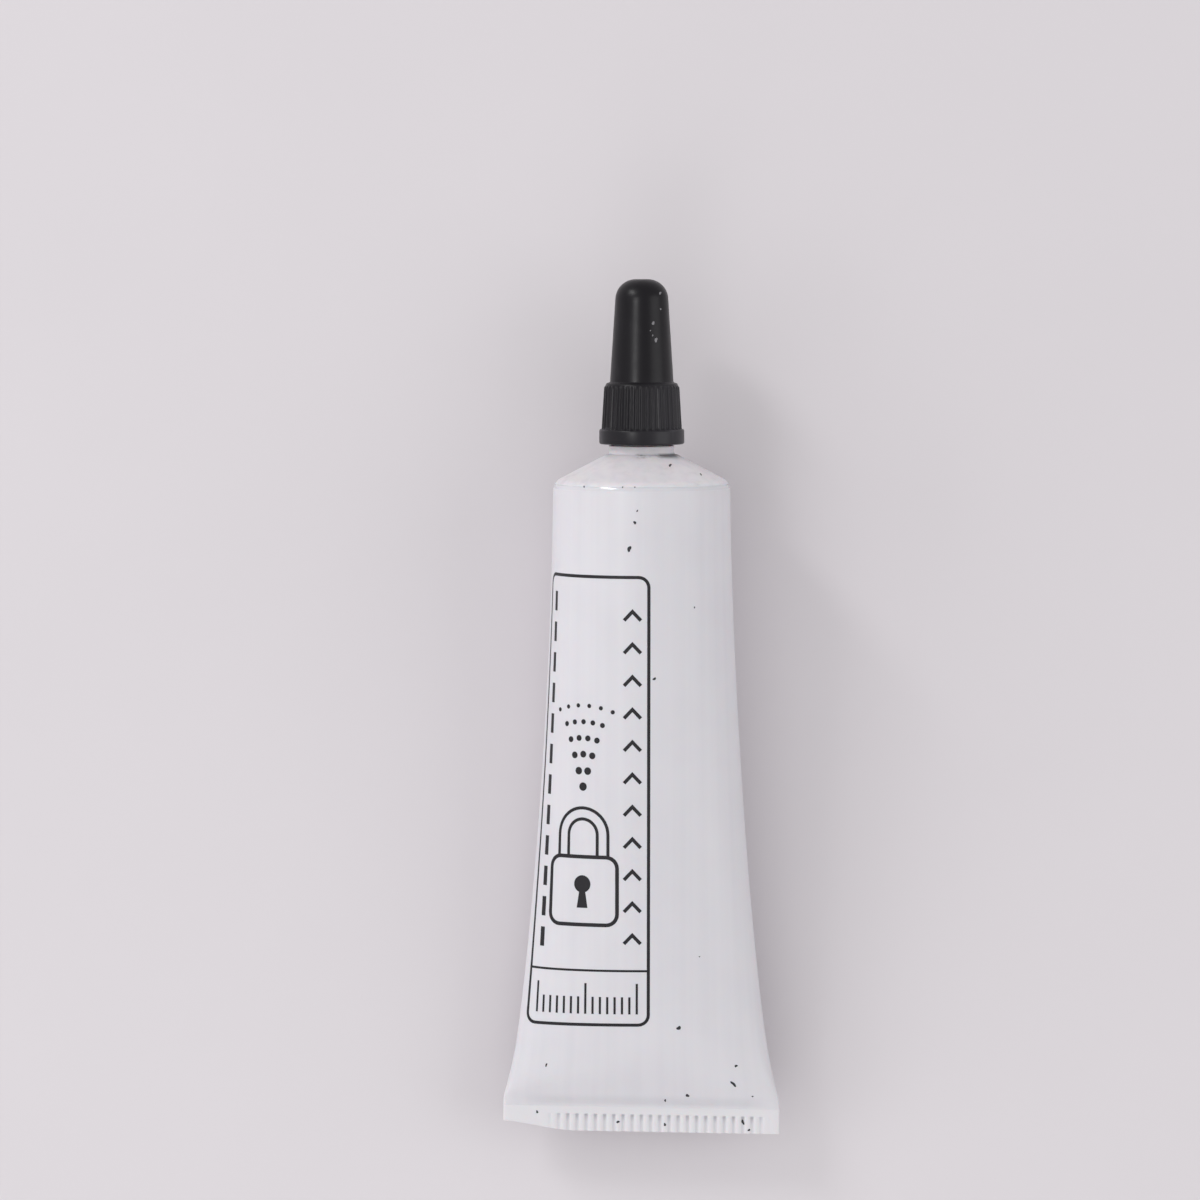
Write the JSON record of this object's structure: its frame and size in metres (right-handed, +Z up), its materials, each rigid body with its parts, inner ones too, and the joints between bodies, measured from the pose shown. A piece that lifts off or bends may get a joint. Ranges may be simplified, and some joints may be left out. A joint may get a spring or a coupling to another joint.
{
  "type": "graphite lock lubricant tube",
  "caption": "Soft plastic squeeze tube of graphite powder, sealed flat at its foot, with a sloping shoulder, a puffer nozzle and a long black screw cap.",
  "frame": {"origin": "on the surface that the tube lies on, under the middle of its overall box", "axes": "+Y along the tube's length towards the cap, +X across the sealed foot, +Z up"},
  "size_m": [0.03, 0.0926, 0.0195],
  "materials": {
    "sleeve_plastic": "satin",
    "head_plastic": "satin",
    "powder": "matte",
    "cap_plastic": "satin",
    "liner_disc": "matte"
  },
  "bodies": {
    "tube": {"tube_sleeve": "sleeve_plastic", "tube_head": "head_plastic", "graphite_powder": "powder"},
    "liner": {"cap_liner": "liner_disc"},
    "cap": {"screw_cap": "cap_plastic"}
  },
  "joints": [
    {"name": "cap_lift", "type": "slide", "parent": "tube", "child": "liner", "axis": [0, 0.9978, 0.0668], "range_m": [0, 0.01785]},
    {"name": "cap_turn", "type": "hinge", "parent": "liner", "child": "cap", "pos_m": [0, 0.02743, 0.01018], "axis": [0, 0.9978, 0.0668], "range_deg": [0, 3060]}
  ],
  "couplings": [
    {"joint": "cap_turn", "follows": "cap_lift", "rad_per_m": 2992}
  ]
}
